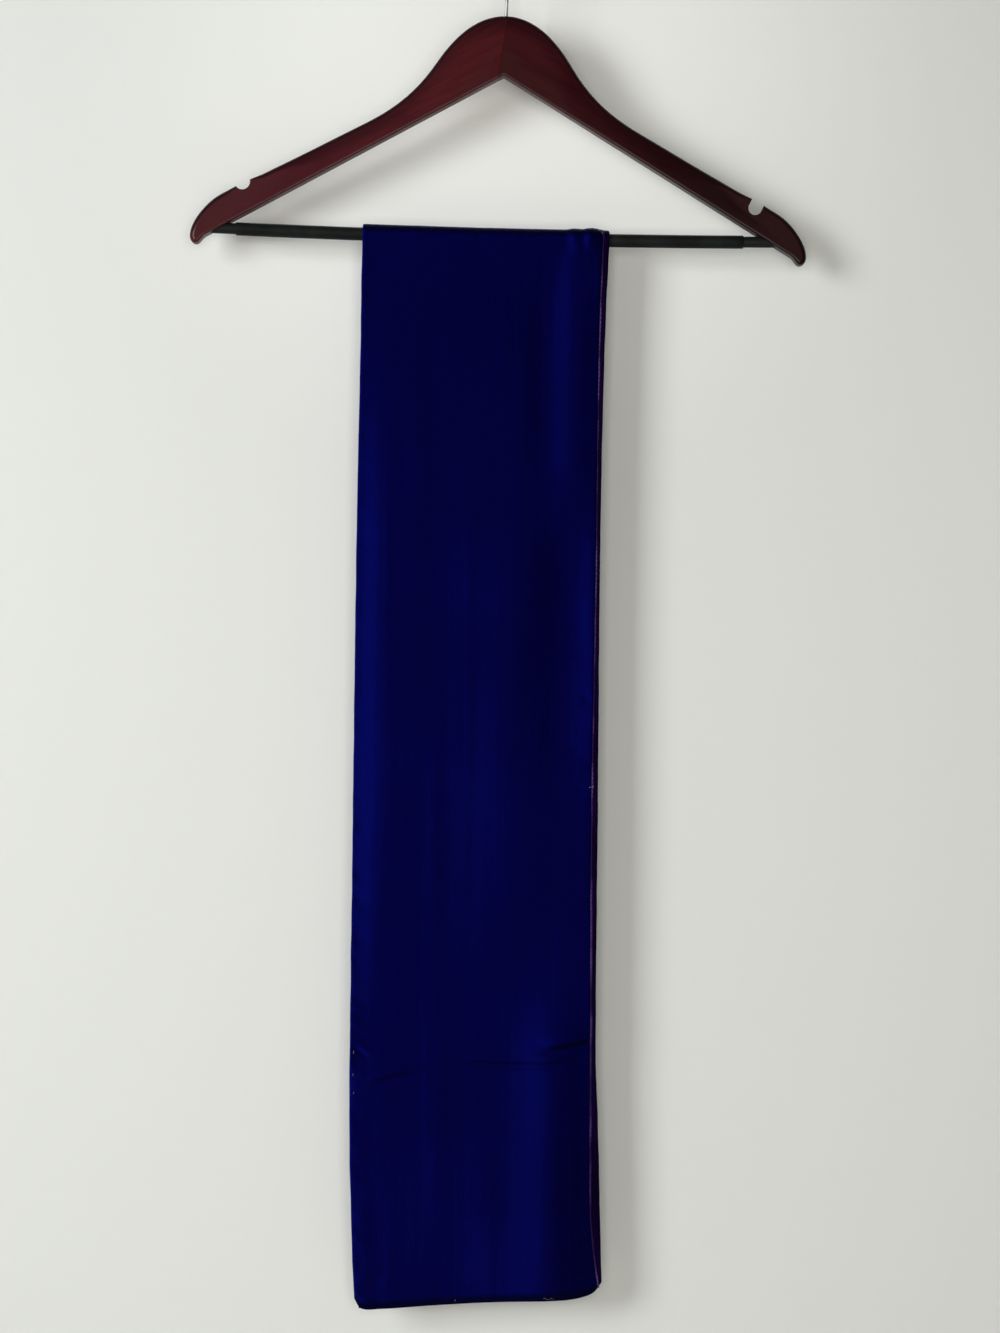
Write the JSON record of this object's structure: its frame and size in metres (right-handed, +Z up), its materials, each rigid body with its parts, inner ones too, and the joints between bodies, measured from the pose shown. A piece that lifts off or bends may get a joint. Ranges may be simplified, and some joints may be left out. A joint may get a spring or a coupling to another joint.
{
  "type": "velvet scarf on a hanger",
  "caption": "Long narrow two-layer velvet scarf folded over the sleeved bar of a flat wooden hanger, its tails hanging plumb from the hook.",
  "frame": {"origin": "inner top of the hook's loop, where a rail holds it", "axes": "+Z up; +X to the right and -Y towards the viewer of the front tail"},
  "size_m": [0.4444, 0.0299, 0.9911],
  "materials": {
    "velvet": "deep blue velvet with a short upright pile",
    "backing": "dark plum smooth backing cloth",
    "wood": "dark cherry stain under clear lacquer",
    "hook": "bright steel wire",
    "rod": "black painted dowel",
    "sleeve": "dark grey matt non-slip sleeve"
  },
  "bodies": {
    "root": {"velvet_front": "velvet", "velvet_top": "velvet", "velvet_rear": "velvet", "satin_front": "backing", "satin_top": "backing", "satin_rear": "backing", "arm_left": "wood", "arm_right": "wood", "hook": "hook", "bar_rod": "rod", "bar_sleeve": "sleeve"}
  },
  "joints": []
}
